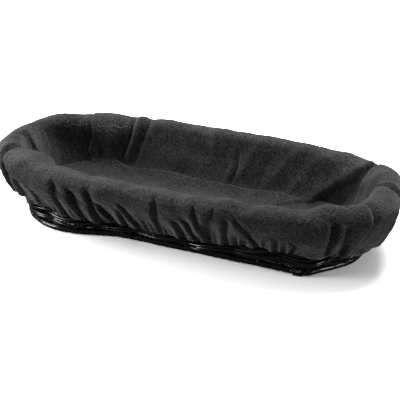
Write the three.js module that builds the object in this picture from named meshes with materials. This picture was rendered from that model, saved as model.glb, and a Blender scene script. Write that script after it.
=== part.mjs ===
// A lined bread basket: a low oval willow basket with a loose cotton liner. The liner's walls turn over the
// rim, and an elastic cord in their hem draws the skirt in under it.
// Millimetres. +X runs along the basket, +Y across it, +Z up. The origin is on the table, under the middle.
import * as THREE from "three";

// Driving dimensions. The wall's middle line is lofted from the base outline to the rim outline.
const RIM_HALF_LENGTH = 187;
const RIM_HALF_WIDTH = 79.5;
const RIM_ROUNDNESS = 2.72; // superellipse exponent, 2 being an ellipse
const RIM_Z = 61;
const BASE_HALF_LENGTH = 167;
const BASE_HALF_WIDTH = 54.5;
const BASE_FULL_END = 66; // half width of the left end, which is woven fuller than the right
const WALL_BOW = 1.2; // over 1, the wall stands steeper near the base than near the rim

const FRAME_RADIUS = 3;
const FRAME_Z = FRAME_RADIUS;
const STAKE_COUNT = 18; // even, so that a pair of weavers closes on itself
const STAKE_RADIUS = 1.6;
const WEAVER_RADIUS = 1.45;
const WEAVER_ROWS = 6;
const FIRST_ROW_Z = 11.5;
const ROW_PITCH = 8.15;
const HOOP_RADIUS = 2;
const LASHING_RADIUS = 0.7;
const BASE_ROD_RADIUS = 1.3;
const BASE_ROD_Z = 5.5;
const SLAT_PITCH = 37;
const SLATS_EACH_SIDE = 3;
const ROD_PITCH = 14;
const RODS_EACH_SIDE = 3;
const CLOTH = 1.3; // the cotton, with its turned seams
const FLOOR_CLOTH_Z = 16; // the floor hangs a little above the base, as a hammock does
const ELASTIC_RADIUS = 0.8;
const HEM_Z = 25.5;
const GAP = 0.4;
const RING_STEPS = 3 * STAKE_COUNT; // every ring has a corner at each stake

const WEAVER_SWING = STAKE_RADIUS + WEAVER_RADIUS + 1.5 * GAP; // a weaver's middle line to the stakes' middle line
const WEAVER_LIFT = 2.1; // how far a weaver climbs as it crosses its partner
const HOOP_OUT = STAKE_RADIUS + HOOP_RADIUS + 1.5 * GAP;

const material = (color, roughness) => new THREE.MeshStandardMaterial({ color, roughness, metalness: 0 });
const willow = material(0x0b0a0a, 0.25);
const cotton = material(0x232323, 0.9);
const elastic = material(0x141414, 0.7);

// ---- Outlines -----------------------------------------------------------------------------------------------

// A closed line of points, spaced evenly along itself. It starts at the front middle and runs towards +X.
const OUTLINE_POINTS = 720;
function evenly(points) {
  const line = new THREE.CurvePath();
  points.forEach((p, i) => line.add(new THREE.LineCurve(p, points[(i + 1) % points.length])));
  line.arcLengthDivisions = OUTLINE_POINTS * 2;
  return line.getSpacedPoints(OUTLINE_POINTS).slice(0, OUTLINE_POINTS);
}

function rimOutline() {
  const points = [];
  for (let i = 0; i < OUTLINE_POINTS; i++) {
    const angle = ((i / OUTLINE_POINTS) * 2 - 0.5) * Math.PI;
    const along = Math.cos(angle);
    const across = Math.sin(angle);
    const power = 2 / RIM_ROUNDNESS;
    points.push(
      new THREE.Vector2(
        RIM_HALF_LENGTH * Math.sign(along) * Math.abs(along) ** power,
        RIM_HALF_WIDTH * Math.sign(across) * Math.abs(across) ** power,
      ),
    );
  }
  return evenly(points);
}

// The base frame's middle line. It is one bent cane: straight sides, kinked corners at the right, round at the left.
function baseOutline() {
  const half = new THREE.Path();
  half.moveTo(0, -BASE_HALF_WIDTH);
  half.lineTo(126, -BASE_HALF_WIDTH - 1);
  half.quadraticCurveTo(133, -BASE_HALF_WIDTH - 1, 137, -53);
  half.lineTo(159, -26);
  half.quadraticCurveTo(BASE_HALF_LENGTH, -16, BASE_HALF_LENGTH, 0);
  const right = half.getPoints(16);
  const left = new THREE.Path();
  left.moveTo(-BASE_HALF_LENGTH, 0);
  left.bezierCurveTo(-BASE_HALF_LENGTH, -44, -132, -BASE_FULL_END, -104, -BASE_FULL_END);
  left.bezierCurveTo(-80, -BASE_FULL_END, -66, -BASE_HALF_WIDTH, -44, -BASE_HALF_WIDTH);
  const front = [...left.getPoints(16), ...right].filter((p, i, all) => !i || p.distanceTo(all[i - 1]) > 0.1);
  const back = front
    .slice(1, -1)
    .reverse()
    .map((p) => new THREE.Vector2(p.x, -p.y));
  const ring = [...front, ...back];
  const start = ring.findIndex((p) => p.x === 0 && p.y < 0);
  return evenly([...ring.slice(start), ...ring.slice(0, start)]);
}

const RIM = rimOutline();
const BASE = baseOutline();

function onOutline(outline, u) {
  const place = (u - Math.floor(u)) * OUTLINE_POINTS;
  const i = Math.floor(place) % OUTLINE_POINTS;
  return outline[i].clone().lerp(outline[(i + 1) % OUTLINE_POINTS], place - Math.floor(place));
}

// A point of the wall: u runs once round from the front middle, z is height, and out is the distance outside the
// wall's middle line. Far inside, the outline shrinks towards the middle instead, so that its corners stay open.
const OFFSET_LIMIT = -11;
function wall(u, z, out) {
  const rise = THREE.MathUtils.clamp((z - FRAME_Z) / (RIM_Z - FRAME_Z), 0, 1) ** WALL_BOW;
  const at = (v) => onOutline(BASE, v).lerp(onOutline(RIM, v), rise);
  const step = 2 / OUTLINE_POINTS;
  const along = at(u + step).sub(at(u - step)).normalize();
  const p = at(u);
  const offset = Math.max(out, OFFSET_LIMIT);
  const shrink = offset - out;
  return new THREE.Vector3(
    (p.x + along.y * offset) * (1 - shrink / BASE_HALF_LENGTH),
    (p.y - along.x * offset) * (1 - shrink / BASE_HALF_WIDTH),
    z,
  );
}

// Where round the wall a point on the rim lies, from its angle on the rim's superellipse
function rimShare(x, y) {
  let best = 0;
  RIM.forEach((p, i) => {
    if (Math.hypot(p.x - x, p.y - y) < Math.hypot(RIM[best].x - x, RIM[best].y - y)) best = i;
  });
  return best / OUTLINE_POINTS;
}

// ---- Shaping ------------------------------------------------------------------------------------------------

function reshape(geometry, move) {
  const position = geometry.getAttribute("position");
  const point = new THREE.Vector3();
  for (let i = 0; i < position.count; i++) {
    point.fromBufferAttribute(position, i);
    position.setXYZ(i, ...move(point).toArray());
  }
  geometry.computeVertexNormals();
  return geometry;
}

// A regular polygon of points about a centre, counter-clockwise, with a flat underside
function roundSection(radius, sides, x = 0, y = 0) {
  return Array.from({ length: sides }, (_, i) => {
    const angle = ((i + 0.5) / sides) * 2 * Math.PI - Math.PI / 2;
    return new THREE.Vector2(x + radius * Math.cos(angle), y + radius * Math.sin(angle));
  });
}

// A closed ring round the basket. Its section holds [out, z] points, and sway(u) gives its middle line's [out, z].
const LATHE_RADIUS = 1000;
function ring(section, segments, sway = () => [0, 0]) {
  const profile = [...section, section[0]].map((p) => new THREE.Vector2(LATHE_RADIUS + p.x, p.y));
  return reshape(new THREE.LatheGeometry(profile, segments), (p) => {
    const turn = Math.atan2(p.x, p.z) / (2 * Math.PI);
    const u = Math.round((turn < -1e-6 ? turn + 1 : turn) * 1e6) / 1e6;
    const [out, rise] = sway(u);
    return wall(u, p.y + rise, Math.hypot(p.x, p.z) - LATHE_RADIUS + out);
  });
}

// A strip round part of the basket, from u0 to u1, with its corners where the rings have theirs
function strip(section, u0, u1) {
  const stops = [u1];
  for (let i = Math.ceil(u1 * RING_STEPS) - 1; i > u0 * RING_STEPS; i--) stops.push(i / RING_STEPS);
  stops.push(u0);
  const steps = stops.length - 1;
  const shape = new THREE.Shape(section.map(([out, z]) => new THREE.Vector2(out, z)));
  const straight = new THREE.ExtrudeGeometry(shape, { depth: steps, steps, bevelEnabled: false });
  return reshape(straight, (p) => wall(stops[Math.round(p.z)], p.y, p.x));
}

// A rod along points, with flat ends
function rod(points, radius, sides, steps) {
  const shape = new THREE.Shape(roundSection(radius, sides));
  const path = new THREE.CatmullRomCurve3(points);
  return new THREE.ExtrudeGeometry(shape, { steps, bevelEnabled: false, extrudePath: path });
}

const basket = new THREE.Group();
function add(name, geometry, finish) {
  const mesh = new THREE.Mesh(geometry, finish);
  mesh.name = name;
  basket.add(mesh);
}

// ---- Base ---------------------------------------------------------------------------------------------------

// Half the inside length or width of the base frame along a line, less room for a rod's end
function insideFrame(fixedAxis, at, movingAxis, side) {
  const reach = BASE.filter((p) => Math.abs(p[fixedAxis] - at) < 2 && p[movingAxis] * side > 0);
  return side * (Math.min(...reach.map((p) => Math.abs(p[movingAxis]))) - FRAME_RADIUS - GAP - 0.6);
}

function addBase() {
  const sides = 8;
  const flatRadius = FRAME_RADIUS / Math.cos(Math.PI / sides);
  add("base_frame", ring(roundSection(flatRadius, sides, 0, FRAME_Z), RING_STEPS), willow);

  const bindingShare = 0.147; // near the kink at the front right, where the cane's two ends lie together
  const inner = FRAME_RADIUS + 2 * GAP;
  const outer = inner + 0.9;
  const saddle = [
    [outer, 1.2],
    [outer, 4.4],
    [2.4, FRAME_Z + outer],
    [-2.4, FRAME_Z + outer],
    [-outer, 4.4],
    [-outer, 1.2],
    [-inner, 1.2],
    [-inner, 4.3],
    [-1.5, FRAME_Z + inner],
    [1.5, FRAME_Z + inner],
    [inner, 4.3],
    [inner, 1.2],
  ];
  add("frame_binding", strip(saddle, bindingShare - 0.006, bindingShare + 0.006), willow);

  for (let i = -SLATS_EACH_SIDE; i <= SLATS_EACH_SIDE; i++) {
    const x = i * SLAT_PITCH;
    const ends = [-1, 1].map((side) => new THREE.Vector3(x, insideFrame("x", x, "y", side), BASE_ROD_Z));
    add(`base_slat_${i + SLATS_EACH_SIDE + 1}`, rod(ends, BASE_ROD_RADIUS, 5, 1), willow);
  }

  const swing = 2 * BASE_ROD_RADIUS + 3 * GAP;
  for (let j = -RODS_EACH_SIDE; j <= RODS_EACH_SIDE; j++) {
    const y = j * ROD_PITCH;
    const start = insideFrame("y", y, "x", -1);
    const end = insideFrame("y", y, "x", 1);
    const parity = j % 2 === 0 ? 1 : -1;
    const points = [new THREE.Vector3(start, y, BASE_ROD_Z)];
    for (let i = -SLATS_EACH_SIDE; i <= SLATS_EACH_SIDE; i++) {
      const over = (i % 2 === 0 ? 1 : -1) * parity;
      points.push(new THREE.Vector3(i * SLAT_PITCH, y, BASE_ROD_Z + over * swing));
    }
    points.push(new THREE.Vector3(end, y, BASE_ROD_Z));
    add(`base_rod_${j + RODS_EACH_SIDE + 1}`, rod(points, BASE_ROD_RADIUS, 5, 16), willow);
  }
}

// ---- Side weave ---------------------------------------------------------------------------------------------

function addStakes() {
  const foot = 2 * FRAME_RADIUS + 0.6;
  const top = RIM_Z;
  for (let k = 0; k < STAKE_COUNT; k++) {
    const points = [0, 0.35, 0.7, 1].map((share) => wall(k / STAKE_COUNT, THREE.MathUtils.lerp(foot, top, share), 0));
    add(`stake_${String(k + 1).padStart(2, "0")}`, rod(points, STAKE_RADIUS, 6, 3), willow);
  }
}

// Two weavers make a row. Each passes outside one stake and inside the next, and crosses its partner between them.
function addWeavers() {
  const section = roundSection(WEAVER_RADIUS, 4);
  for (let row = 0; row < WEAVER_ROWS; row++) {
    for (const [letter, phase] of [
      ["a", 0],
      ["b", Math.PI],
    ]) {
      const sway = (u) => {
        const turn = u * STAKE_COUNT * Math.PI + phase + row * Math.PI;
        const z = FIRST_ROW_Z + row * ROW_PITCH;
        return [WEAVER_SWING * Math.cos(turn), z + WEAVER_LIFT * Math.sin(turn)];
      };
      add(`weaver_${row + 1}${letter}`, ring(section, RING_STEPS, sway), willow);
    }
  }
}

// ---- Rim ----------------------------------------------------------------------------------------------------

function addRim() {
  add("rim_hoop_outer", ring(roundSection(HOOP_RADIUS, 6, HOOP_OUT, RIM_Z), RING_STEPS), willow);
  add("rim_hoop_inner", ring(roundSection(HOOP_RADIUS, 6, -HOOP_OUT, RIM_Z), RING_STEPS), willow);

  const slack = 1.5; // lets the lashing's six flat sides a turn clear the hoops
  const aroundOut = HOOP_OUT + HOOP_RADIUS + LASHING_RADIUS + slack;
  const aroundZ = HOOP_RADIUS + LASHING_RADIUS + slack;
  const stepsPerTurn = 6;
  const sway = (u) => {
    const turn = (u * STAKE_COUNT + 0.25) * 2 * Math.PI;
    return [aroundOut * Math.cos(turn), RIM_Z + aroundZ * Math.sin(turn)];
  };
  add("rim_lashing", ring(roundSection(LASHING_RADIUS, 4), STAKE_COUNT * stepsPerTurn, sway), willow);
}

// ---- Liner --------------------------------------------------------------------------------------------------

// The four cloth panels, by where their seams cross the rim
const SEAMS = {
  front_left: rimShare(-163, -44),
  front_right: rimShare(186, -6),
  back_right: rimShare(166, 46),
  back_left: rimShare(-138, 67),
};
const PANELS = [
  { name: "front", from: SEAMS.front_left - 1, to: SEAMS.front_right },
  { name: "right_end", from: SEAMS.front_right, to: SEAMS.back_right },
  { name: "back", from: SEAMS.back_right, to: SEAMS.back_left },
  { name: "left_end", from: SEAMS.back_left, to: SEAMS.front_left },
];
const SEAM_ROOM = 0.0005;

function addLiner() {
  const inside = -(WEAVER_SWING + WEAVER_RADIUS + 1.4);
  const rimInside = -(HOOP_OUT + HOOP_RADIUS + 2 * LASHING_RADIUS + 1.9);
  const rimTop = RIM_Z + HOOP_RADIUS + 2 * LASHING_RADIUS + 1.7;
  const floorEdge = -24;
  const panelWall = [
    [floorEdge, FLOOR_CLOTH_Z],
    [-15, 20],
    [-11, 26],
    [-8.5, 38],
    [inside, 50],
    [rimInside, 56],
    [rimInside, RIM_Z + 2],
    [-5, rimTop],
    [5, rimTop],
    [-rimInside, RIM_Z + 2],
    [-rimInside, RIM_Z],
    [-rimInside + CLOTH, RIM_Z],
    [-rimInside + CLOTH, RIM_Z + 3],
    [6, rimTop + CLOTH],
    [-6, rimTop + CLOTH],
    [rimInside - CLOTH, RIM_Z + 3],
    [rimInside - CLOTH, 55.5],
    [inside - CLOTH, 49.5],
    [-8.5 - CLOTH, 38],
    [-12.1, 26.6],
    [-15.5, 21.2],
    [floorEdge, FLOOR_CLOTH_Z + CLOTH],
  ].reverse();

  // The skirt bellies outwards, and its hem is a J-shaped channel round the elastic.
  const room = ELASTIC_RADIUS + GAP;
  const lip = 0.9;
  const hemOut = WEAVER_SWING + WEAVER_RADIUS + GAP + lip + room;
  const skirt = [
    [-rimInside, RIM_Z - GAP],
    [-rimInside + 3.5, 50],
    [-rimInside + 3, 38],
    [hemOut + room, HEM_Z + 5.5],
    [hemOut + room, HEM_Z - room],
    [hemOut - room, HEM_Z - room],
    [hemOut - room, HEM_Z + room],
    [hemOut - room - lip, HEM_Z + room],
    [hemOut - room - lip, HEM_Z - room - CLOTH],
    [hemOut + room + CLOTH, HEM_Z - room - CLOTH],
    [hemOut + room + CLOTH, HEM_Z + 5.5],
    [-rimInside + 3 + CLOTH, 38],
    [-rimInside + 3.5 + CLOTH, 50],
    [-rimInside + CLOTH, RIM_Z - GAP],
  ];
  for (const { name, from, to } of PANELS) {
    const start = from + SEAM_ROOM;
    const end = to - SEAM_ROOM;
    add(`liner_${name}_wall`, strip(panelWall, start, end), cotton);
    add(`liner_${name}_skirt`, strip(skirt, start, end), cotton);
  }

  add("hem_elastic", ring(roundSection(ELASTIC_RADIUS, 4, hemOut, HEM_Z), RING_STEPS), elastic);

  const edge = floorEdge - GAP;
  const outline = Array.from({ length: RING_STEPS }, (_, i) => {
    const p = wall(i / RING_STEPS, FLOOR_CLOTH_Z, edge);
    return new THREE.Vector2(p.x, p.y);
  });
  const floor = new THREE.ExtrudeGeometry(new THREE.Shape(outline), { depth: CLOTH, bevelEnabled: false });
  add("liner_floor", floor.translate(0, 0, FLOOR_CLOTH_Z), cotton);
}

addBase();
addStakes();
addWeavers();
addRim();
addLiner();

export default basket;
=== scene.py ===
import math
import random

import bmesh
import bpy
import numpy as np
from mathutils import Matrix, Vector, noise


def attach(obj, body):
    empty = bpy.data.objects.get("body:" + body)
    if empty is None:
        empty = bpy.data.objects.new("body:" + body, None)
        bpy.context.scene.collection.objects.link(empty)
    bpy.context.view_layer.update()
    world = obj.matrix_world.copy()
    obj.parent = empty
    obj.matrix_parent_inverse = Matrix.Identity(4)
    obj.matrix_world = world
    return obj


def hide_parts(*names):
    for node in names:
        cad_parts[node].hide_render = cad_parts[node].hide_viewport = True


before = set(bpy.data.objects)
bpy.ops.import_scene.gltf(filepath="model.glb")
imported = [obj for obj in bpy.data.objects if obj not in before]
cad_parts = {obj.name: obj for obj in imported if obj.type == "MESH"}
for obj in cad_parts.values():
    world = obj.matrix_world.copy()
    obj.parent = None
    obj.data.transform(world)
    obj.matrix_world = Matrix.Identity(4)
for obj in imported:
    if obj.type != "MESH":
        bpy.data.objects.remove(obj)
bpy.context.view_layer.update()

scene = bpy.context.scene
scene.view_settings.view_transform = "Standard"

# ---- Studio ------------------------------------------------------------------------------------------------
# White paper under the basket and a long lens from the front right and above. A large light high behind it
# draws the crests and folds, an even one overhead fills, and small ones at both ends light the glossy rods.
CAMERA_TURN = math.radians(23.96)
CAMERA_RISE = math.radians(26.21)
CAMERA_AWAY = 0.9706

camera = bpy.data.objects.new("camera", bpy.data.cameras.new("camera"))
scene.collection.objects.link(camera)
scene.camera = camera
towards_camera = Vector((
    math.sin(CAMERA_TURN) * math.cos(CAMERA_RISE),
    -math.cos(CAMERA_TURN) * math.cos(CAMERA_RISE),
    math.sin(CAMERA_RISE),
))
camera.location = towards_camera * CAMERA_AWAY
camera.rotation_euler = towards_camera.to_track_quat("Z", "Y").to_euler()
camera.data.sensor_width = 36
camera.data.lens = 90
camera.data.shift_x = 0.0224
camera.data.shift_y = 0.0580
camera.data.clip_start = 0.01

sweep = bmesh.new()
bmesh.ops.create_grid(sweep, x_segments=1, y_segments=1, size=6)
paper = bpy.data.objects.new("paper", bpy.data.meshes.new("paper"))
sweep.to_mesh(paper.data)
sweep.free()
scene.collection.objects.link(paper)
# The camera sees the paper as plain white, but it throws little light back, so that the folds stay dark.
paper_finish = bpy.data.materials.new("white_paper")
paper_finish.use_nodes = True
paper_tree = paper_finish.node_tree
paper_bsdf = paper_tree.nodes["Principled BSDF"]
paper_bsdf.inputs["Base Color"].default_value = (4.4, 4.4, 4.4, 1)
paper_bsdf.inputs["Roughness"].default_value = 0.9
paper_bsdf.inputs["Specular IOR Level"].default_value = 0
dim_bounce = paper_tree.nodes.new("ShaderNodeBsdfDiffuse")
dim_bounce.inputs["Color"].default_value = (0.22, 0.22, 0.22, 1)
seen = paper_tree.nodes.new("ShaderNodeLightPath")
paper_mix = paper_tree.nodes.new("ShaderNodeMixShader")
paper_tree.links.new(seen.outputs["Is Camera Ray"], paper_mix.inputs["Fac"])
paper_tree.links.new(dim_bounce.outputs["BSDF"], paper_mix.inputs[1])
paper_tree.links.new(paper_bsdf.outputs["BSDF"], paper_mix.inputs[2])
paper_tree.links.new(paper_mix.outputs["Shader"], paper_tree.nodes["Material Output"].inputs["Surface"])
paper.data.materials.append(paper_finish)

scene.world = bpy.data.worlds.new("studio")
scene.world.use_nodes = True
background = scene.world.node_tree.nodes["Background"]
background.inputs["Color"].default_value = (1, 1, 1, 1)
background.inputs["Strength"].default_value = 0.05


def soft_light(name, place, aim, size, watts):
    light = bpy.data.lights.new(name, "AREA")
    light.shape = "RECTANGLE"
    light.size, light.size_y = size
    light.energy = watts
    lamp = bpy.data.objects.new(name, light)
    scene.collection.objects.link(lamp)
    lamp.location = place
    lamp.rotation_euler = (Vector(place) - Vector(aim)).to_track_quat("Z", "Y").to_euler()


soft_light("back_box", (-0.1, 0.45, 1.2), (0, 0, 0.03), (1.1, 0.9), 14)
soft_light("overhead", (0.1, 0.1, 1.3), (0, 0, 0.03), (2.2, 2.2), 1.6)
soft_light("left_box", (-0.85, -0.36, 0.52), (-0.05, 0, 0.03), (0.6, 0.5), 2.2)
soft_light("left_strip", (-0.72, -0.45, 0.15), (-0.1, 0, 0.02), (0.3, 0.14), 2.6)
soft_light("right_box", (0.75, -0.08, 0.13), (0.15, 0, 0.02), (0.2, 0.15), 0.8)

# ---- Base frame --------------------------------------------------------------------------------------------
# One cane as thick as a pencil, steamed and bent into the ring that the basket stands on. It is straight
# along the sides, kinked twice at the right end and round at the left.
RIM_HALF_LENGTH, RIM_HALF_WIDTH, RIM_ROUNDNESS, RIM_Z = 0.187, 0.0795, 2.72, 0.061
BASE_HALF_LENGTH, BASE_HALF_WIDTH, BASE_FULL_END = 0.167, 0.0545, 0.066
WALL_BOW = 1.2
FRAME_RADIUS = 0.003
OUTLINE_POINTS = 720
SHRINK_BEYOND = 0.011


def evenly(points):
    """A closed outline's points, spaced evenly along it."""
    ring = np.vstack([points, points[:1]])
    along = np.concatenate([[0], np.cumsum(np.linalg.norm(np.diff(ring, axis=0), axis=1))])
    stops = np.arange(OUTLINE_POINTS) / OUTLINE_POINTS * along[-1]
    return np.stack([np.interp(stops, along, ring[:, axis]) for axis in (0, 1)], 1)


def bend(*handles):
    """Points along a quadratic or cubic bend between the first and the last handle."""
    t = np.linspace(0, 1, 17)[:, None]
    rows = [np.array(h) for h in handles]
    while len(rows) > 1:
        rows = [(1 - t) * a + t * b for a, b in zip(rows, rows[1:])]
    return rows[0]


def rim_outline():
    angle = (np.arange(OUTLINE_POINTS) / OUTLINE_POINTS * 2 - 0.5) * math.pi
    along, across, power = np.cos(angle), np.sin(angle), 2 / RIM_ROUNDNESS
    return evenly(np.stack([
        RIM_HALF_LENGTH * np.sign(along) * abs(along) ** power,
        RIM_HALF_WIDTH * np.sign(across) * abs(across) ** power,
    ], 1))


def base_outline():
    side, full, end = -BASE_HALF_WIDTH, -BASE_FULL_END, BASE_HALF_LENGTH
    left = [
        bend((-end, 0), (-end, -0.044), (-0.132, full), (-0.104, full)),
        bend((-0.104, full), (-0.080, full), (-0.066, side), (-0.044, side))[1:],
    ]
    right = [
        [(0, side)],
        bend((0.126, side - 0.001), (0.133, side - 0.001), (0.137, -0.053)),
        bend((0.159, -0.026), (end, -0.016), (end, 0)),
    ]
    front = np.vstack(left + right)
    ring = np.vstack([front, front[1:-1][::-1] * (1, -1)])
    return evenly(np.roll(ring, -(len(left[0]) + len(left[1])), axis=0))


RIM_LINE, BASE_LINE = rim_outline(), base_outline()


def on_outline(line, u):
    place = (u % 1) * OUTLINE_POINTS
    i = np.floor(place).astype(int) % OUTLINE_POINTS
    share = (place - np.floor(place))[:, None]
    return line[i] * (1 - share) + line[(i + 1) % OUTLINE_POINTS] * share


def wall(u, z, out):
    """Points of the basket's wall. u runs once round from the front middle towards +X, z is height, and out
    is the distance outside the wall's middle line. Far inside, the outline shrinks and keeps its corners."""
    u, z, out = (a.ravel() for a in np.broadcast_arrays(np.atleast_1d(np.asarray(u, float)), z, out))
    rise = (np.clip((z - FRAME_RADIUS) / (RIM_Z - FRAME_RADIUS), 0, 1) ** WALL_BOW)[:, None]

    def middle(v):
        return on_outline(BASE_LINE, v) * (1 - rise) + on_outline(RIM_LINE, v) * rise

    step = 2 / OUTLINE_POINTS
    along = middle(u + step) - middle(u - step)
    along /= np.linalg.norm(along, axis=1)[:, None]
    offset = np.maximum(out, -SHRINK_BEYOND)
    shrink = offset - out
    p = middle(u)
    return np.stack([
        (p[:, 0] + along[:, 1] * offset) * (1 - shrink / BASE_HALF_LENGTH),
        (p[:, 1] - along[:, 0] * offset) * (1 - shrink / BASE_HALF_WIDTH),
        z,
    ], 1)


def ripple(x, seed, reach=5):
    """A smooth random line through x, about one unit from crest to crest and mostly within 1 of zero."""
    dice = np.random.RandomState(seed)
    total = np.zeros(np.shape(x))
    for _ in range(reach):
        total += np.sin(2 * math.pi * (np.asarray(x) * dice.uniform(0.55, 1.6) + dice.uniform()))
    return total / math.sqrt(reach)


def ripple_round(u, waves, seed, shift=0, reach=5):
    """The same round a ring, where it meets itself: about so many waves in one turn."""
    dice = np.random.RandomState(seed)
    total = np.zeros(np.shape(np.asarray(u) + shift))
    for _ in range(reach):
        turns_here = np.asarray(u) * round(waves * dice.uniform(0.55, 1.6))
        total += np.sin(2 * math.pi * (turns_here + dice.uniform() + shift))
    return total / math.sqrt(reach)


# The lacquer is thick over the bark: deep black and glossy, a little uneven, with the willow's grain showing
# through as fine lengthwise streaks.
willow = bpy.data.materials.new("lacquered_willow")
willow.use_nodes = True


def wire(tree, source, target):
    tree.links.new(source, target)


def node(tree, kind, **settings):
    made = tree.nodes.new(kind)
    for key, value in settings.items():
        setattr(made, key, value)
    return made


def build_willow(material):
    tree = material.node_tree
    gloss = tree.nodes["Principled BSDF"]
    gloss.inputs["Coat Weight"].default_value = 0.8
    gloss.inputs["Coat Roughness"].default_value = 0.07
    gloss.inputs["Specular IOR Level"].default_value = 0.35
    uv = node(tree, "ShaderNodeUVMap", uv_map="UVMap")
    stretch = node(tree, "ShaderNodeMapping")
    stretch.inputs["Scale"].default_value = (70, 1100, 1)
    grain = node(tree, "ShaderNodeTexNoise")
    grain.inputs["Scale"].default_value = 1
    grain.inputs["Detail"].default_value = 4
    wire(tree, uv.outputs["UV"], stretch.inputs["Vector"])
    wire(tree, stretch.outputs["Vector"], grain.inputs["Vector"])
    place = node(tree, "ShaderNodeTexCoord")
    patches = node(tree, "ShaderNodeTexNoise")
    patches.inputs["Scale"].default_value = 160
    patches.inputs["Detail"].default_value = 3
    wire(tree, place.outputs["Object"], patches.inputs["Vector"])
    colour = node(tree, "ShaderNodeValToRGB")
    colour.color_ramp.elements[0].color = (0.004, 0.0036, 0.0034, 1)
    colour.color_ramp.elements[1].color = (0.022, 0.018, 0.015, 1)
    colour.color_ramp.elements[0].position = 0.35
    colour.color_ramp.elements[1].position = 0.8
    wire(tree, grain.outputs["Fac"], colour.inputs["Fac"])
    wire(tree, colour.outputs["Color"], gloss.inputs["Base Color"])
    rough = node(tree, "ShaderNodeMapRange")
    rough.inputs["From Min"].default_value = 0.3
    rough.inputs["From Max"].default_value = 0.7
    rough.inputs["To Min"].default_value = 0.14
    rough.inputs["To Max"].default_value = 0.38
    wire(tree, patches.outputs["Fac"], rough.inputs["Value"])
    wire(tree, rough.outputs["Result"], gloss.inputs["Roughness"])
    heights = node(tree, "ShaderNodeMath", operation="ADD")
    wire(tree, grain.outputs["Fac"], heights.inputs[0])
    wire(tree, patches.outputs["Fac"], heights.inputs[1])
    bump = node(tree, "ShaderNodeBump")
    bump.inputs["Strength"].default_value = 0.5
    bump.inputs["Distance"].default_value = 0.00035
    wire(tree, heights.outputs["Value"], bump.inputs["Height"])
    wire(tree, bump.outputs["Normal"], gloss.inputs["Normal"])


build_willow(willow)


def rods(name, paths, radii, closed=False, sides=10, finish=willow):
    """One piece made of rods. Each path is an array of points, and its radii taper along it."""
    line = bpy.data.curves.new(name, "CURVE")
    line.dimensions = "3D"
    line.bevel_depth = 1
    line.bevel_resolution = sides // 2 - 2
    line.use_fill_caps = True
    for path, radius in zip(paths, radii):
        spline = line.splines.new("POLY")
        spline.points.add(len(path) - 1)
        spline.points.foreach_set("co", np.hstack([path, np.ones((len(path), 1))]).ravel())
        spline.points.foreach_set("radius", np.broadcast_to(radius, len(path)).astype(float))
        spline.use_cyclic_u = closed
        spline.use_smooth = True
    curve = bpy.data.objects.new(name, line)
    scene.collection.objects.link(curve)
    bpy.context.view_layer.update()
    mesh = bpy.data.meshes.new_from_object(curve.evaluated_get(bpy.context.evaluated_depsgraph_get()))
    bpy.data.objects.remove(curve)
    mesh.name = name
    length = sum(np.linalg.norm(np.diff(path, axis=0), axis=1).sum() for path in paths) / len(paths)
    around = 2 * math.pi * float(np.mean([np.mean(r) for r in radii]))
    scaled = np.zeros(len(mesh.loops) * 2)
    layer = mesh.uv_layers[0]
    layer.name = "UVMap"
    layer.data.foreach_get("uv", scaled)
    layer.data.foreach_set("uv", (scaled.reshape(-1, 2) * (length, around)).ravel())
    mesh.materials.clear()
    mesh.materials.append(finish)
    mesh.shade_smooth()
    piece = bpy.data.objects.new(name, mesh)
    scene.collection.objects.link(piece)
    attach(piece, "basket")
    return piece


def stand_in_for(piece, *cad_nodes):
    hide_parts(*cad_nodes)
    return piece


u = np.arange(540) / 540
frame_thick = FRAME_RADIUS * (1 + 0.05 * ripple_round(u, 30, 4))
frame_path = wall(u, frame_thick + 0.0002 + 0.0003 * abs(ripple_round(u, 14, 3)), 0)
frame_piece = rods("base_frame_cane", [frame_path], [frame_thick], closed=True, sides=14)
stand_in_for(frame_piece, "base_frame")

# The frame's two ends lie together near the kink. A strip of split cane binds them, four turns side by side.
BINDING_AT = 0.156
BINDING_SHARE = 0.0105
BINDING_RADIUS = 0.0009
TURNS = 4
turn = np.linspace(0, TURNS * 2 * math.pi, TURNS * 20)
binding_u = BINDING_AT + (turn / turn[-1] - 0.5) * BINDING_SHARE
binding_r = FRAME_RADIUS + BINDING_RADIUS
binding_path = wall(binding_u, FRAME_RADIUS + binding_r * np.sin(turn), binding_r * np.cos(turn))
binding_path[:, 2] = np.maximum(binding_path[:, 2], BINDING_RADIUS + 0.0001)
stand_in_for(rods("binding_wraps", [binding_path], [BINDING_RADIUS]), "frame_binding")

# ---- Base weave --------------------------------------------------------------------------------------------
# Seven short willow rods cross the base, and seven long ones are woven over and under them. The ends of all
# fourteen are let into the frame.
SLAT_PITCH, ROD_PITCH, EACH_SIDE = 0.037, 0.014, 3
BASE_ROD_RADIUS, BASE_ROD_Z = 0.0013, 0.0055
CROSS_SWING = 2 * BASE_ROD_RADIUS + 0.0004
WEAVE_END, WEAVE_FADE = 0.165, 0.03


def to_frame(axis, at, side):
    """How far along the other axis the frame's middle line is, at this place on axis."""
    near = BASE_LINE[(abs(BASE_LINE[:, axis] - at) < 0.002) & (BASE_LINE[:, 1 - axis] * side > 0)]
    return side * (abs(near[:, 1 - axis]).min() - 0.001)


for i in range(-EACH_SIDE, EACH_SIDE + 1):
    x = i * SLAT_PITCH
    y = np.linspace(to_frame(0, x, -1), to_frame(0, x, 1), 40)
    slat = np.stack([x + 0.0005 * ripple(y * 25, 10 + i), y, BASE_ROD_Z + 0 * y], 1)
    thick = BASE_ROD_RADIUS * (1.1 + 0.08 * ripple(y * 40, 20 + i))
    stand_in_for(rods(f"cross_slat_{i + EACH_SIDE + 1}", [slat], [thick]), f"base_slat_{i + EACH_SIDE + 1}")

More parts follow.
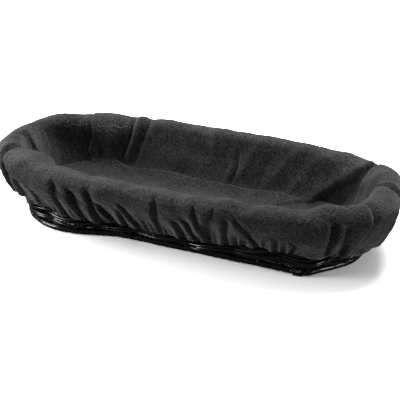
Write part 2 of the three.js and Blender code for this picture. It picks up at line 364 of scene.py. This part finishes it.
for j in range(-EACH_SIDE, EACH_SIDE + 1):
    y = j * ROD_PITCH
    x = np.linspace(to_frame(1, y, -1), to_frame(1, y, 1), 160)
    over = np.cos(x / SLAT_PITCH * math.pi) * (1 if j % 2 == 0 else -1)
    fade = np.clip((WEAVE_END - abs(x)) / WEAVE_FADE, 0, 1)
    long_rod = np.stack([x, y + 0.0009 * ripple(x * 12, 40 + j), BASE_ROD_Z + CROSS_SWING * over * fade], 1)
    thick = BASE_ROD_RADIUS * np.linspace(1.15, 0.85, len(x)) * (1 + 0.05 * ripple(x * 40, 50 + j))
    stand_in_for(rods(f"long_rod_{j + EACH_SIDE + 1}", [long_rod], [thick]), f"base_rod_{j + EACH_SIDE + 1}")

# ---- Stakes ------------------------------------------------------------------------------------------------
# Eighteen willow stakes, evenly spaced, rise from the frame to the rim. Each is wedged in the frame at its
# foot and tapers towards its tip.
STAKE_COUNT, STAKE_RADIUS = 18, 0.0016
for k in range(STAKE_COUNT):
    z = np.linspace(2 * FRAME_RADIUS - 0.001, RIM_Z + 0.0005, 24)
    stake = wall(k / STAKE_COUNT + 0.0006 * ripple(z * 20, 70 + k), z, 0)
    thick = STAKE_RADIUS * np.linspace(1.08, 0.9, len(z)) * (1 + 0.04 * ripple(z * 60, 90 + k))
    stand_in_for(rods(f"stake_rod_{k + 1:02d}", [stake], [thick]), f"stake_{k + 1:02d}")

# ---- Side weave --------------------------------------------------------------------------------------------
# Six rows of pairing: two rods go round together, one outside a stake and one inside it, and cross between
# the stakes. Each rod tapers from butt to tip, and the next one starts where it ends, behind a stake. The
# three lowest rows are worked with two thinner rods side by side.
WEAVER_ROWS, WEAVER_RADIUS = 6, 0.00145
FIRST_ROW_Z, ROW_PITCH = 0.0115, 0.00815
WEAVER_SWING, WEAVER_LIFT = STAKE_RADIUS + WEAVER_RADIUS + 0.0006, 0.0016
RODS_A_ROW, ROD_LAP = 2, 0.022
BUTT, TIP, TUCKED_IN = 1.16, 0.82, 0.003
DOUBLED_ROWS, STRAND_APART, STRAND_LAG, STRAND_THIN = 3, 0.0014, 0.028, 0.96
for row in range(WEAVER_ROWS):
    for letter, phase in (("a", 0), ("b", math.pi)):
        seed = 200 + row * 10 + (letter == "b")
        start = random.Random(seed).random()
        paths, radii = [], []
        strands = (-1, 1) if row < DOUBLED_ROWS else (0,)
        for part in range(RODS_A_ROW):
            for strand in strands:
                u = np.linspace(0, 1 / RODS_A_ROW + ROD_LAP, 150) + start
                u = u + part / RODS_A_ROW + strand * STRAND_LAG
                turn = u * STAKE_COUNT * math.pi + phase + row * math.pi
                wander = 0.0012 * ripple(u * 8, seed + part + strand * 12)
                wander = wander + 0.0008 * ripple_round(u, 4, row)
                z = FIRST_ROW_Z + row * ROW_PITCH + WEAVER_LIFT * np.sin(turn)
                z = z + wander + strand * STRAND_APART
                out = WEAVER_SWING * np.cos(turn)
                taper = np.linspace(BUTT, TIP, len(u)) * (STRAND_THIN if strand else 1)
                tuck = np.clip((u - u[-1]) * 60 + 1, 0, 1) * TUCKED_IN
                paths.append(wall(u, z, out - tuck))
                radii.append(WEAVER_RADIUS * taper * (1 + 0.05 * ripple(u * 60, seed + 5)))
        stand_in_for(rods(f"weaver_rods_{row + 1}{letter}", paths, radii), f"weaver_{row + 1}{letter}")

# ---- Rim ---------------------------------------------------------------------------------------------------
# Two hoops, one outside the stakes and one inside, clamp the stakes' tops. A long strip of split cane lashes
# the hoops together, with two turns to each stake.
HOOP_RADIUS = 0.002
HOOP_OUT = STAKE_RADIUS + HOOP_RADIUS + 0.0006
for side, out in (("outer", HOOP_OUT), ("inner", -HOOP_OUT)):
    u = np.arange(480) / 480
    hoop = wall(u, RIM_Z + 0.0003 * ripple_round(u, 12, 300), out)
    thick = HOOP_RADIUS * (1 + 0.04 * ripple_round(u, 40, 310 + int(out > 0)))
    stand_in_for(rods(f"hoop_{side}", [hoop], [thick], closed=True, sides=12), f"rim_hoop_{side}")

LASHING_RADIUS = 0.0008
turns = np.arange(2 * STAKE_COUNT * 18) / 18
u = turns / (2 * STAKE_COUNT)
angle = (turns + 0.25) * 2 * math.pi


def boxy(wave):
    return np.sign(wave) * abs(wave) ** 0.6


lashing = wall(
    u,
    RIM_Z + (HOOP_RADIUS + LASHING_RADIUS + 0.0001) * boxy(np.sin(angle)),
    (HOOP_OUT + HOOP_RADIUS + LASHING_RADIUS) * boxy(np.cos(angle)),
)
lashing_strip = rods("lashing_strip", [lashing], [LASHING_RADIUS], closed=True, sides=8)
stand_in_for(lashing_strip, "rim_lashing")

# ---- Liner -------------------------------------------------------------------------------------------------
# Four panels of brushed black cotton twill line the walls, turn over the rim and hang outside as a flap that
# a hem elastic gathers. The front panel's free ends lie over the end panels, and a fifth piece is the floor.
MM = 0.001
GIRTH = 0.935
# the cloth from the floor seam to the turned hem, in mm: how far outside the wall's middle line, and how high
SECTION = [
    (-19.0, 19.0), (-14.6, 22.0), (-11.2, 28.0), (-10.1, 38), (-9.2, 50), (-10.6, 58), (-9.6, 63.5),
    (-5.5, 66.9), (0, 68.0), (5.5, 67.0), (10, 63.5), (12.8, 57), (14.2, 48), (13.8, 38), (12.2, 30),
    (10.9, 24.5), (10.2, 21), (9.2, 19.2), (8.2, 19.8), (7.9, 22.0),
]


def through(points, count):
    """A smooth line through the points, and how far along it each of its own points is."""
    p = np.array([points[0], *points, points[-1]], float)
    rows = []
    for a, b, c, d in zip(p, p[1:], p[2:], p[3:]):
        t = np.linspace(0, 1, count, endpoint=False)[:, None]
        bends = (2 * a - 5 * b + 4 * c - d) * t**2 + (3 * b - a - 3 * c + d) * t**3
        rows.append(0.5 * (2 * b + (c - a) * t + bends))
    line = np.vstack([*rows, p[-1:]])
    return line, np.concatenate([[0], np.cumsum(np.linalg.norm(np.diff(line, axis=0), axis=1))])


section_line, section_along = through(SECTION, 12)
CREST = section_along[section_line[:, 1].argmax()]
HEM = section_along[-1]


def inside_at(z):
    """How far along the section the cloth inside the basket is at height z, in mm."""
    rising = (section_along < CREST) & (section_line[:, 1] > 0)
    return np.interp(z, section_line[rising, 1], section_along[rising])


def outside_at(z):
    falling = (section_along > CREST) & (section_along < HEM - 6)
    return np.interp(-np.asarray(z, float), -section_line[falling, 1], section_along[falling])


def ease(low, high, x):
    t = np.clip((x - low) / (high - low), 0, 1)
    return t * t * (3 - 2 * t)


def apart(u, at):
    """Distance round the basket from at to u, in mm, positive to the right of it as seen from outside."""
    return ((u - at + 0.5) % 1 - 0.5) * GIRTH / MM


def fold(u, s, line, span, rise, lead=6.5, drop=2.2, dip=1.1, fade=9.0):
    """One fold of the cloth: it rises gently over lead, falls steeply over drop, and a hollow follows it. The
    line is where its crest is, as (s, u) pairs. A negative drop puts the steep side on the left."""
    stops, places = zip(*sorted(line))
    crest = np.interp(s, stops, np.unwrap(np.array(places), period=1))
    across = apart(u, crest) * math.copysign(1, drop)
    steep = abs(drop)
    ridge = np.exp(-(np.where(across < 0, -across / lead, across / steep) ** 1.35))
    hollow = np.exp(-(((across - 1.9 * steep) / (1.7 * steep)) ** 2))
    along = ease(span[0] - fade / 2, span[0] + fade / 2, s)
    along = along * (1 - ease(span[1] - fade / 2, span[1] + fade / 2, s))
    return rise * along * (ridge - dip * hollow), rise * along * ridge * math.copysign(0.7, drop)


def swell(u, s, at_u, at_s, wide, tall, amount):
    """A soft lump, or with a negative amount a hollow, in mm."""
    return amount * np.exp(-((apart(u, at_u) / wide) ** 2) - (((s - at_s) / tall) ** 2))


# The folds of the flap: u and height of the start, u and height of the end, and how far each stands out.
FRONT_FOLDS = [
    (0.888, 61, 0.888, 26, 1.5), (0.906, 56, 0.907, 20, 2.2), (0.926, 60, 0.925, 20, 2.6),
    (0.934, 46, 0.943, 19, 2.6), (0.958, 46, 0.957, 20, 2.2), (0.963, 51, 0.972, 20, 2.4),
    (1.001, 63, 0.998, 22, 1.8), (1.021, 44, 1.024, 20, 2.2), (1.033, 46, 1.040, 20, 2.4),
    (1.040, 63, 1.052, 22, 2.0), (1.061, 64, 1.052, 44, 1.2), (1.074, 56, 1.072, 24, 1.6),
    (1.082, 58, 1.106, 22, 1.8), (1.123, 38, 1.125, 20, 1.4), (1.142, 34, 1.140, 20, 1.5),
    (1.166, 61, 1.168, 22, 2.4), (1.179, 58, 1.181, 20, 2.4), (1.203, 68, 1.193, 22, 2.6),
    (1.222, 52, 1.218, 20, 2.0), (1.238, 44, 1.236, 20, 1.8),
]


def loose_folds(start, stop, seed):
    """Folds for a stretch of flap that no one arranged, about three fingers apart."""
    dice = random.Random(seed)
    at, found = start, []
    while at < stop:
        slant = dice.uniform(-0.006, 0.008)
        found.append((at, dice.uniform(42, 62), at + slant, 20, dice.uniform(1.4, 2.5)))
        at += dice.uniform(0.015, 0.031)
    return found


FLAP_FOLDS = FRONT_FOLDS + loose_folds(0.262, 0.872, 7)


def handling(u, s):
    """The small lumps that handling leaves in soft cloth."""
    turn = 2 * math.pi * u
    spots = np.stack([np.cos(turn) * 9, np.sin(turn) * 9, s * 0.06], 1)
    return np.array([noise.fractal(Vector(spot), 0.8, 2.1, 3) for spot in spots]) * 0.8


def relief(u, s):
    """How far the cloth stands off its plain section, and how far it is pushed round the basket, in mm."""
    off = 0.45 * ripple_round(u, 15, 401) * np.exp(-(((s - CREST) / 17) ** 2))
    off = off + 0.6 * ripple_round(u, 31, 402, s * 0.011) * ease(CREST + 8, CREST + 30, s)
    off = off + 0.8 * ripple_round(u, 12, 403, -s * 0.02) * (1 - ease(CREST - 34, CREST - 8, s))
    push = np.zeros(np.shape(off))
    for at, top, foot_at, foot, rise in FLAP_FOLDS:
        line = [(outside_at(top), at), (outside_at(foot), foot_at)]
        more, lean = fold(u, s, line, (outside_at(top), HEM + 20), rise * 1.25)
        off, push = off + more, push + lean
    inner = [
        # (height, u) pairs, span, rise, lead, drop, dip: a double pleat, the middle crease, long soft folds
        ([(66, 0.605), (47, 0.609), (31, 0.618)], (14, CREST - 2), -2.6, 2.6, 2.2, 0.4),
        ([(67, 0.597), (49, 0.603), (31, 0.611)], (12, CREST + 2), 2.2, 5.0, 5.0, 0),
        ([(65, 0.588), (45, 0.595), (30, 0.600)], (10, CREST + 6), -3.0, 3.6, 3.0, 0.4),
        ([(67, 0.507), (47, 0.502)], (28, CREST), 1.0, 6.0, 5.0, 0.6),
        ([(56, 0.476), (39, 0.469), (27, 0.471)], (6, 38), -2.6, 2.6, 2.2, 0.8),
        ([(60, 0.455), (39, 0.460)], (18, 48), 1.4, 9.0, 7.0, 0.9),
        ([(66, 0.405), (30, 0.425)], (8, 50), 1.3, 9.0, 8.0, 0.7),
        ([(66, 0.375), (30, 0.395)], (8, 50), 1.3, 9.0, 8.0, 0.7),
        ([(67, 0.322), (48, 0.347), (30, 0.366)], (2, CREST + 2), 4.6, 11.0, -7.0, 0.6),
        ([(62, 0.752), (41, 0.741)], (20, CREST - 2), 1.6, 6.0, 4.0, 0.8),
    ]
    for stops, span, rise, lead, drop, dip in inner:
        line = [(inside_at(z), at) for z, at in stops]
        more, lean = fold(u, s, line, span, rise, lead, drop, dip)
        off, push = off + more, push + lean
    swells = [
        # u, s, half width round the basket, half width along the section, amount
        (0.650, inside_at(36), 8, 11, -5.0),
        (0.700, inside_at(42), 28, 16, -3.8),
        (0.625, inside_at(50), 20, 14, 2.0),
        (0.322, inside_at(36), 14, 14, -2.6),
        (0.495, inside_at(46), 14, 2.2, -1.4),
        (0.570, CREST - 3, 20, 14, 1.8),
        (0.685, CREST - 2, 22, 14, 2.0),
        (0.074, CREST - 1, 9, 12, 2.4),
        (0.096, CREST, 9, 12, -1.6),
        (0.146, CREST - 1, 14, 12, -2.6),
        (0.168, CREST - 2, 12, 12, 4.4),
        (0.145, outside_at(34), 22, 14, 2.4),
    ]
    for place in swells:
        off = off + swell(u, s, *place)
    gather = ease(HEM - 26, HEM - 8, s)
    off = off + handling(u, s)
    off = off + gather * (0.75 * ripple_round(u, 95, 404) + 0.35 * ripple_round(u, 170, 405))
    return off, push


CLOTH = 0.9
STEP = 1.35
SHELF_AT, SHELF_DEPTH = 0.846, 7.5
# how high the lowest edge of the flap hangs, going round the basket: the elastic has ridden up unevenly
HEM_HEIGHTS = [
    (0, 23), (0.04, 22.5), (0.075, 25.5), (0.11, 29), (0.144, 28.5), (0.164, 25.5), (0.178, 27),
    (0.206, 22.5), (0.224, 22), (0.3, 24), (0.5, 25), (0.65, 25), (0.75, 27), (0.80, 31), (0.844, 31),
    (0.886, 28), (0.94, 24.5),
]


def hem_height(u):
    places, heights = zip(*HEM_HEIGHTS)
    return np.interp(u % 1, places, heights, period=1) + 0.5 * ripple_round(u, 40, 406)


def lay(u, s, lift):
    """Where the cloth is, u round the basket and s mm along its section, lift mm above the layer below."""
    out = np.interp(s, section_along, section_line[:, 0])
    z = np.interp(s, section_along, section_line[:, 1])
    slope_out = np.interp(s + 1, section_along, section_line[:, 0])
    slope_out -= np.interp(s - 1, section_along, section_line[:, 0])
    slope_z = np.interp(s + 1, section_along, section_line[:, 1])
    slope_z -= np.interp(s - 1, section_along, section_line[:, 1])
    length = np.hypot(slope_out, slope_z)
    off, push = relief(u, s)
    free = 1 - ease(HEM - 5.5, HEM - 2.5, s)
    # a deep hollow of the flap is made shallower, so that the cloth keeps off the rim hoops
    off = np.where(s > CREST + 12, np.maximum(off, -2.6 + 0.3 * off), off)
    off = off * free + lift
    # at the left front corner the cloth stands in from the wall just below the rim
    shelf = np.exp(-((apart(u, SHELF_AT) / 30) ** 2)) * ease(CREST - 24, CREST - 9, s)
    shelf = shelf * (1 - ease(CREST - 7, CREST + 1, s))
    taken_up = ease(CREST + 6, HEM, s) * (hem_height(u) - section_line[:, 1][section_along > CREST].min())
    out = out - off * slope_z / length
    out = out - SHELF_DEPTH * shelf
    z = z + off * slope_out / length + taken_up
    return wall(u + push * free * MM / GIRTH, z * MM, out * MM)


def sheet_piece(name, columns, rows, place, finish, thick):
    """A grid of cloth. place turns the two shares across and along it into points and pattern coordinates."""
    cloth = bmesh.new()
    bmesh.ops.create_grid(cloth, x_segments=columns, y_segments=rows, size=0.5)
    mesh = bpy.data.meshes.new(name)
    cloth.to_mesh(mesh)
    cloth.free()
    flat = np.zeros(len(mesh.vertices) * 3)
    mesh.vertices.foreach_get("co", flat)
    across, along = flat.reshape(-1, 3)[:, 0] + 0.5, flat.reshape(-1, 3)[:, 1] + 0.5
    points, pattern = place(across, along)
    mesh.vertices.foreach_set("co", points.ravel())
    corners = np.zeros(len(mesh.loops), int)
    mesh.loops.foreach_get("vertex_index", corners)
    mesh.uv_layers.new(name="UVMap").data.foreach_set("uv", pattern[corners].ravel())
    mesh.update()
    mesh.materials.append(finish)
    mesh.shade_smooth()
    piece = bpy.data.objects.new(name, mesh)
    scene.collection.objects.link(piece)
    wall_thickness = piece.modifiers.new("thickness", "SOLIDIFY")
    wall_thickness.thickness = thick * MM
    wall_thickness.offset = -1
    wall_thickness.use_quality_normals = True
    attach(piece, "liner")
    return piece


twill = bpy.data.materials.new("cotton_twill")
twill.use_nodes = True


def build_twill(material):
    tree = material.node_tree
    cloth = tree.nodes["Principled BSDF"]
    cloth.inputs["Specular IOR Level"].default_value = 0.20
    cloth.inputs["Roughness"].default_value = 0.7
    cloth.inputs["Sheen Weight"].default_value = 0.72
    cloth.inputs["Sheen Roughness"].default_value = 0.36
    cloth.inputs["Sheen Tint"].default_value = (1, 1, 1, 1)
    uv = node(tree, "ShaderNodeUVMap", uv_map="UVMap")
    rib = node(tree, "ShaderNodeTexWave", wave_type="BANDS", bands_direction="DIAGONAL")
    rib.inputs["Scale"].default_value = 480
    rib.inputs["Distortion"].default_value = 1.2
    rib.inputs["Detail"].default_value = 2
    rib.inputs["Detail Scale"].default_value = 1.5
    wire(tree, uv.outputs["UV"], rib.inputs["Vector"])
    place = node(tree, "ShaderNodeTexCoord")
    nap = node(tree, "ShaderNodeTexNoise")
    nap.inputs["Scale"].default_value = 640
    nap.inputs["Detail"].default_value = 2
    nap.inputs["Roughness"].default_value = 0.6
    wire(tree, place.outputs["Object"], nap.inputs["Vector"])
    shade = node(tree, "ShaderNodeTexNoise")
    shade.inputs["Scale"].default_value = 55
    shade.inputs["Detail"].default_value = 4
    wire(tree, place.outputs["Object"], shade.inputs["Vector"])
    fuzz = node(tree, "ShaderNodeMixRGB", blend_type="MIX")
    fuzz.inputs["Fac"].default_value = 0.14
    wire(tree, nap.outputs["Fac"], fuzz.inputs["Color1"])
    wire(tree, rib.outputs["Fac"], fuzz.inputs["Color2"])
    colour = node(tree, "ShaderNodeValToRGB")
    colour.color_ramp.elements[0].color = (0.005, 0.005, 0.0052, 1)
    colour.color_ramp.elements[0].position = 0.41
    colour.color_ramp.elements[1].color = (0.094, 0.094, 0.0955, 1)
    colour.color_ramp.elements[1].position = 0.62
    wire(tree, fuzz.outputs["Color"], colour.inputs["Fac"])
    broad = node(tree, "ShaderNodeMapRange")
    broad.inputs["From Min"].default_value = 0.3
    broad.inputs["From Max"].default_value = 0.7
    broad.inputs["To Min"].default_value = 0.75
    broad.inputs["To Max"].default_value = 1.3
    wire(tree, shade.outputs["Fac"], broad.inputs["Value"])
    dyed = node(tree, "ShaderNodeMixRGB", blend_type="MULTIPLY")
    dyed.inputs["Fac"].default_value = 1
    wire(tree, colour.outputs["Color"], dyed.inputs["Color1"])
    wire(tree, broad.outputs["Result"], dyed.inputs["Color2"])
    wire(tree, dyed.outputs["Color"], cloth.inputs["Base Color"])
    bump = node(tree, "ShaderNodeBump")
    bump.inputs["Strength"].default_value = 1
    bump.inputs["Distance"].default_value = 0.0016
    wire(tree, fuzz.outputs["Color"], bump.inputs["Height"])
    wire(tree, bump.outputs["Normal"], cloth.inputs["Normal"])


build_twill(twill)


INNER_EXTRA, CREST_PRESS = 1.6, 0.5
GROOVE_DEPTH, GROOVE_EASED, LIP_HEIGHT = 4.6, 3.2, 4.0


def panel(name, low_edge, high_edge, low_lift, high_lift, overlap, cad_nodes, grooves=(), on_top=False):
    """One panel, between its two free edges, which are (s, u) pairs. A lift raises an edge over the panel
    below. A groove sinks the cloth beside the edge of the panel above, on the side that its sign gives, and
    over the rim a lip stands beyond it. The panel on top is pressed flatter over the rim."""
    middle = [np.interp(CREST, *zip(*edge)) for edge in (low_edge, high_edge)]
    columns = int((middle[1] - middle[0]) * GIRTH / MM / STEP)

    def place(across, along):
        s = along * HEM
        low, high = (np.interp(s, *zip(*edge)) for edge in (low_edge, high_edge))
        u = low + (high - low) * across
        lift = np.zeros(len(u))
        for height, inset in ((low_lift, (u - low) * GIRTH / MM), (high_lift, (high - u) * GIRTH / MM)):
            inner_share = 1 if on_top else 1 + (1 - ease(CREST - 24, CREST - 8, s)) * INNER_EXTRA
            press = CREST_PRESS * np.exp(-(((s - CREST) / 13) ** 2)) if on_top else 0
            lift += height * (inner_share - press) * (1 - ease(overlap, overlap * 1.8, inset))
            lift -= height * (0.3 + press) * np.exp(-((inset / 2.4) ** 2))
        for edge, side in grooves:
            outside = side * apart(u, np.interp(s, *zip(*edge)))
            over_rim = np.exp(-(((s - CREST) / 15) ** 2))
            depth = (GROOVE_DEPTH - GROOVE_EASED * over_rim) * ease(CREST - 26, CREST - 12, s)
            lift -= depth * np.exp(-(((outside - 0.6) / 2.6) ** 2))
            lift += LIP_HEIGHT * np.exp(-(((outside - 6.5) / 4) ** 2)) * over_rim
        return lay(u, s, lift), np.stack([(u - middle[0] + 0.1) * GIRTH, s * MM], 1)

    piece = sheet_piece(name, columns, int(HEM / STEP), place, twill, CLOTH)
    return stand_in_for(piece, *cad_nodes)


FRONT_LOW = [
    (0, 0.806), (CREST - 6, 0.808), (CREST, 0.812), (outside_at(62), 0.819), (outside_at(58), 0.823),
    (outside_at(52), 0.834), (outside_at(43), 0.860), (outside_at(34), 0.874), (HEM, 0.878),
]
FRONT_HIGH = [
    (0, 0.275), (CREST - 8, 0.264), (CREST, 0.256), (outside_at(63), 0.248), (outside_at(57), 0.241),
    (HEM, 0.236),
]
front = panel(
    "front_panel", FRONT_LOW, [(s, 1 + u) for s, u in FRONT_HIGH], 3.6, 3.2, 36,
    ("liner_front_wall", "liner_front_skirt"), on_top=True,
)
right_end = panel(
    "right_end_panel",
    [(0, 0.232), (CREST, 0.225), (HEM, 0.212)],
    [(0, 0.292), (inside_at(37), 0.296), (inside_at(52), 0.306), (inside_at(62), 0.315), (CREST, 0.314),
     (outside_at(50), 0.318), (HEM, 0.322)],
    0, 2.2, 22, ("liner_right_end_wall", "liner_right_end_skirt"), [(FRONT_HIGH, 1)],
)
back = panel(
    "back_panel",
    [(0, 0.268), (inside_at(52), 0.284), (CREST, 0.298), (HEM, 0.304)],
    [(0, 0.664), (inside_at(36), 0.667), (inside_at(51), 0.658), (CREST, 0.654), (HEM, 0.650)],
    0, 2.0, 24, ("liner_back_wall", "liner_back_skirt"),
)
left_end = panel(
    "left_end_panel",
    [(0, 0.640), (CREST, 0.636), (HEM, 0.632)],
    [(0, 0.830), (CREST, 0.840), (HEM, 0.895)],
    0, 0, 20, ("liner_left_end_wall", "liner_left_end_skirt"), [(FRONT_LOW, -1)],
)

# A row of grey stitches holds the seam allowance down inside the back left corner, just under the rim. It is
# broken where the two panels meet, and rises with the lifted end of the back panel.
STITCH_COUNT, STITCH_PITCH, STITCH_LONG = 24, 3.4, 2.0
THREAD_RADIUS, STITCHES_BELOW_CREST = 0.00045, 12.5
FIRST_STITCH, GAP_START, BACK_PANEL_END, GAP_END = 0.604, 0.650, 0.654, 0.662
stitch_paths = []
for count in range(STITCH_COUNT):
    u_start = FIRST_STITCH + count * STITCH_PITCH * MM / GIRTH
    if not GAP_START < u_start < GAP_END:
        u = u_start + np.linspace(0, STITCH_LONG * MM / GIRTH, 5)
        proud = 0.7 - 0.8 * np.linspace(-1, 1, 5) ** 2
        on_back = u_start < BACK_PANEL_END
        above = 2.6 * (1 - ease(24, 43, (BACK_PANEL_END - u) * GIRTH / MM)) if on_back else 0
        stitch_s = CREST - STITCHES_BELOW_CREST + 0.5 * ripple(u * 60, 601)
        stitch_paths.append(lay(u, stitch_s, proud + above))
thread = bpy.data.materials.new("stitching_thread")
thread.use_nodes = True
twist = node(thread.node_tree, "ShaderNodeTexWave", wave_type="BANDS", bands_direction="DIAGONAL")
twist.inputs["Scale"].default_value = 900
thread_uv = node(thread.node_tree, "ShaderNodeUVMap", uv_map="UVMap")
thread_colour = node(thread.node_tree, "ShaderNodeValToRGB")
thread_colour.color_ramp.elements[0].color = (0.20, 0.20, 0.20, 1)
thread_colour.color_ramp.elements[1].color = (0.55, 0.55, 0.55, 1)
wire(thread.node_tree, thread_uv.outputs["UV"], twist.inputs["Vector"])
wire(thread.node_tree, twist.outputs["Fac"], thread_colour.inputs["Fac"])
wire(thread.node_tree, thread_colour.outputs["Color"],
     thread.node_tree.nodes["Principled BSDF"].inputs["Base Color"])
stitch_radii = [THREAD_RADIUS] * len(stitch_paths)
stitches = rods("corner_stitches", stitch_paths, stitch_radii, sides=6, finish=thread)
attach(stitches, "liner")

# The floor is cut a little full, so its edge climbs the walls to the seam and its middle lies on the base.
# The last few millimetres turn down again, which leaves a rounded edge all round.
FLOOR_EDGE, FLOOR_MIDDLE, FLOOR_HALF_WIDTH = 27.0, 17.6, 54
CLIMB_WIDTH, TURNED_DOWN, TURN_WIDTH = 13, 2.4, 2.0


def lay_floor(across, along):
    a, b = 2 * across - 1, 2 * along - 1
    reach = np.maximum(abs(a), abs(b))
    safe = np.maximum(reach, 1e-6)
    a_edge, b_edge = a / safe, b / safe
    long_side, short_side = BASE_HALF_LENGTH, BASE_HALF_WIDTH
    quarter = long_side + short_side
    front_side = a_edge * long_side
    right_side = long_side + (b_edge + 1) * short_side
    back_side = long_side + 2 * short_side + (1 - a_edge) * long_side
    left_side = -(long_side + (b_edge + 1) * short_side)
    on_front, on_right, on_back = b_edge <= -1 + 1e-9, a_edge >= 1 - 1e-9, b_edge >= 1 - 1e-9
    walked = np.select([on_front, on_right, on_back], [front_side, right_side, back_side], left_side)
    u = walked / (4 * quarter)
    edge_z = FLOOR_EDGE + 1.2 * ripple_round(u, 9, 501) + 5 * np.exp(-((apart(u, 0.640) / 14) ** 2))
    off, _ = relief(u % 1, np.full(len(u), inside_at(28.0)))
    ring = wall(u, edge_z * MM, (-12.4 - 0.6 * off) * MM)
    points = ring * reach[:, None]
    from_edge = (1 - reach) * FLOOR_HALF_WIDTH
    climb = np.exp(-((from_edge / CLIMB_WIDTH) ** 1.4))
    lumps = np.array([noise.fractal(Vector((p[0] * 28, p[1] * 28, 3.0)), 0.8, 2.1, 3) for p in points])
    rolled = TURNED_DOWN * np.exp(-((from_edge / TURN_WIDTH) ** 2))
    climbed = FLOOR_MIDDLE + (edge_z - FLOOR_MIDDLE) * climb
    points[:, 2] = (climbed + 1.3 * lumps * (1 - climb * 0.6) - rolled) * MM
    return points, points[:, :2] + (0.25, 0.1)


floor_sheet = sheet_piece("floor_panel", 170, 62, lay_floor, twill, CLOTH)
stand_in_for(floor_sheet, "liner_floor")

# ---- Hem elastic -------------------------------------------------------------------------------------------
# A round elastic cord with a braided black cover runs once round inside the folded hem, and draws the flap
# in under the rim.
elastic_finish = bpy.data.materials.new("elastic_cord")
elastic_finish.use_nodes = True
braid = node(elastic_finish.node_tree, "ShaderNodeTexWave", wave_type="BANDS", bands_direction="DIAGONAL")
braid.inputs["Scale"].default_value = 700
braid_colour = node(elastic_finish.node_tree, "ShaderNodeValToRGB")
braid_colour.color_ramp.elements[0].color = (0.01, 0.01, 0.01, 1)
braid_colour.color_ramp.elements[1].color = (0.05, 0.05, 0.05, 1)
braid_uv = node(elastic_finish.node_tree, "ShaderNodeUVMap", uv_map="UVMap")
wire(elastic_finish.node_tree, braid_uv.outputs["UV"], braid.inputs["Vector"])
wire(elastic_finish.node_tree, braid.outputs["Fac"], braid_colour.inputs["Fac"])
wire(elastic_finish.node_tree, braid_colour.outputs["Color"],
     elastic_finish.node_tree.nodes["Principled BSDF"].inputs["Base Color"])
CORD_RADIUS, CORD_FROM_HEM, CORD_BEHIND = 0.0007, 8.0, 1.9
u = np.arange(720) / 720
cord_path = lay(u, np.full(len(u), HEM - CORD_FROM_HEM), -CORD_BEHIND)
elastic = rods(
    "hem_elastic_cord", [cord_path], [CORD_RADIUS], closed=True, sides=8,
    finish=elastic_finish,
)
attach(elastic, "liner")
stand_in_for(elastic, "hem_elastic")
